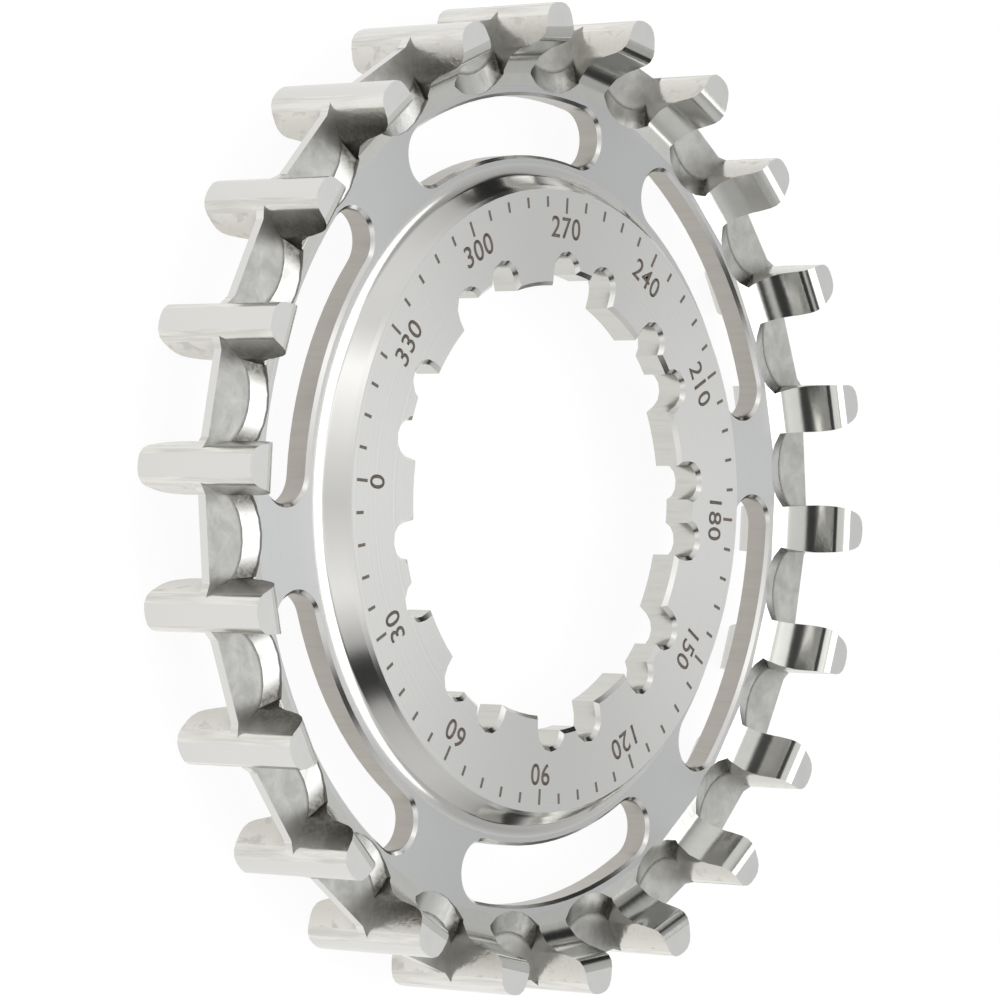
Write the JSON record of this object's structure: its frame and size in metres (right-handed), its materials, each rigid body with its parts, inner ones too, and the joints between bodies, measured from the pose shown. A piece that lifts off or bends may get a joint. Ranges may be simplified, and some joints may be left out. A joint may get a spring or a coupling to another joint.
{
  "type": "belt drive sprocket",
  "caption": "Rear toothed belt sprocket for a bicycle: a stainless steel disc with a raised hub, a splined bore, curved slots and wide belt teeth joined by a thin centre fin.",
  "frame": {"origin": "on the wheel axis in the plane under the tooth ends, where the part rests when it lies on its back", "axes": "+Z along the wheel axis out of the raised front face, +X through the middle of one tooth"},
  "size_m": [0.0754, 0.0748, 0.0108],
  "materials": {
    "stainless_steel": "turned and fine blasted"
  },
  "bodies": {
    "root": {"sprocket": "stainless_steel"}
  },
  "joints": []
}
